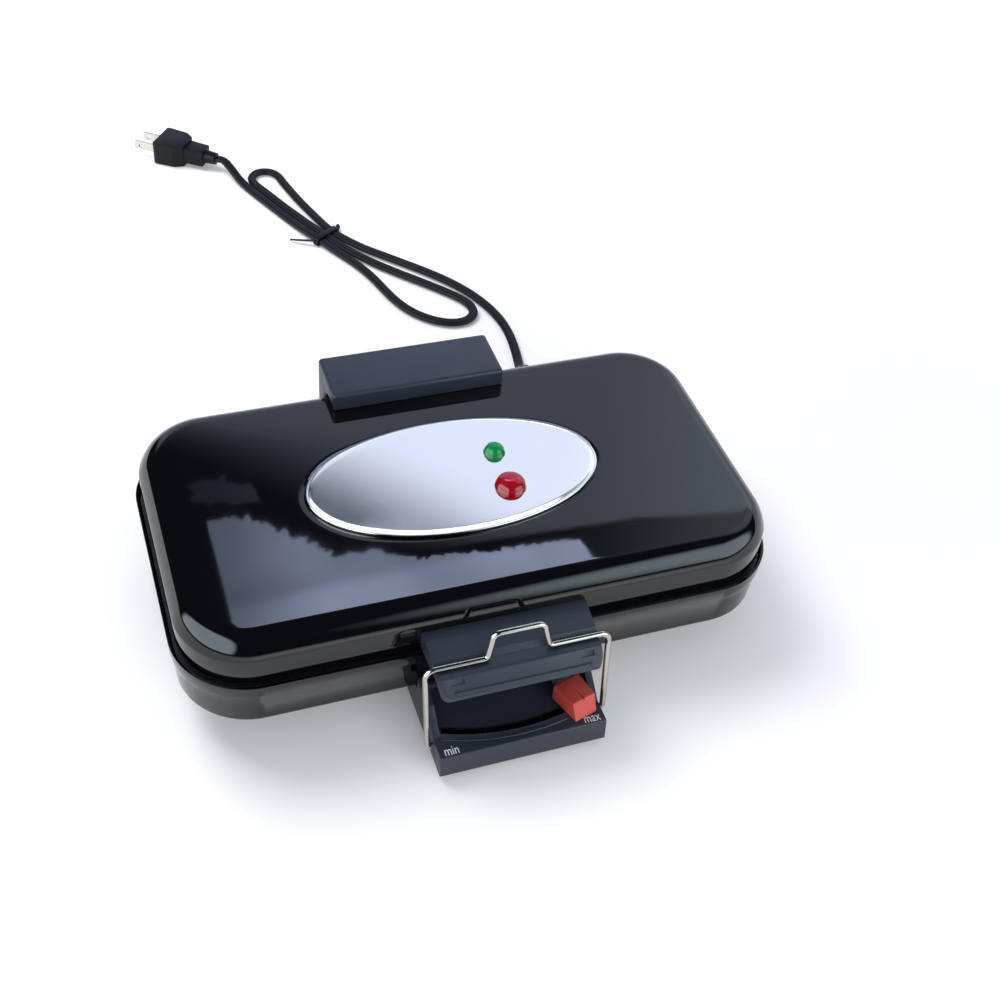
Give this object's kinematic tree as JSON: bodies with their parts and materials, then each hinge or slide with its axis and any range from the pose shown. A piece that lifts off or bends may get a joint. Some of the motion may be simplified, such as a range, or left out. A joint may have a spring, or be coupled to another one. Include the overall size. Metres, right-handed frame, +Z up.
{
  "type": "electric krumkake iron",
  "caption": "Countertop electric iron for rolled waffle cones: hinged black lid with oval steel badge and pilot lamps, arc heat control and wire latch.",
  "frame": {"origin": "on the table, under the middle of the box round the iron without its cord", "axes": "+X to the right seen from the front, -Y the front with the handles, +Z up"},
  "size_m": [0.306, 0.5928, 0.0853],
  "materials": {
    "black_enamel": "gloss",
    "handle_plastic": "matte",
    "badge_steel": "brushed",
    "wire_chrome": "polished",
    "screw_steel": "plain",
    "plate_cast": "cast, seasoned",
    "element_steel": "heat stained",
    "reflector_steel": "bright",
    "red_knob": "satin",
    "red_glass": "translucent",
    "green_glass": "translucent",
    "lamp_glass": "clear",
    "black_plastic": "satin",
    "ceramic": "matte",
    "brass": "plain"
  },
  "bodies": {
    "base": {"base_shell": "black_enamel", "foot_front_left": "black_plastic", "foot_front_right": "black_plastic", "foot_rear_left": "black_plastic", "foot_rear_right": "black_plastic", "foot_screws": "screw_steel", "lower_grid_plate": "plate_cast", "lower_plate_spacers": "screw_steel", "lower_plate_screws": "screw_steel", "lower_heating_element": "element_steel", "lower_element_clips": "screw_steel", "lower_clip_screws": "screw_steel", "lower_reflector": "reflector_steel", "thermostat": "ceramic", "thermostat_nut": "brass", "terminal_block": "ceramic", "lower_handle": "handle_plastic", "lower_handle_screws": "screw_steel", "lower_handle_cover": "handle_plastic", "lower_cover_screws": "screw_steel", "lower_hinge_bracket": "handle_plastic", "lower_hinge_screws": "screw_steel", "hinge_pin": "screw_steel", "strain_relief": "black_plastic", "mains_cord": "black_plastic", "plug_body": "black_plastic", "plug_blades": "brass", "cord_tie": "black_plastic"},
    "control": {"control_lever": "screw_steel", "control_knob": "red_knob"},
    "latch": {"latch_bail": "wire_chrome"},
    "lid": {"lid_shell": "black_enamel", "badge_plate": "badge_steel", "red_lens": "red_glass", "green_lens": "green_glass", "red_lamp": "lamp_glass", "green_lamp": "lamp_glass", "upper_grid_plate": "plate_cast", "upper_plate_spacers": "screw_steel", "upper_plate_screws": "screw_steel", "upper_heating_element": "element_steel", "upper_element_clips": "screw_steel", "upper_clip_screws": "screw_steel", "upper_reflector": "reflector_steel", "upper_handle": "handle_plastic", "upper_handle_screws": "screw_steel", "upper_hinge_block": "handle_plastic", "upper_hinge_screws": "screw_steel"}
  },
  "joints": [
    {"name": "lid_hinge", "type": "hinge", "parent": "base", "child": "lid", "pos_m": [0, 0.1055, 0.05], "axis": [-1, 0, 0], "range_deg": [0, 100]},
    {"name": "latch_swing", "type": "hinge", "parent": "base", "child": "latch", "pos_m": [0, -0.0989, 0.0125], "axis": [1, 0, 0], "range_deg": [0, 108]},
    {"name": "heat_control", "type": "hinge", "parent": "base", "child": "control", "pos_m": [0, 0.0045, 0.024], "axis": [0, 0, 1], "range_deg": [-33, 0]}
  ]
}
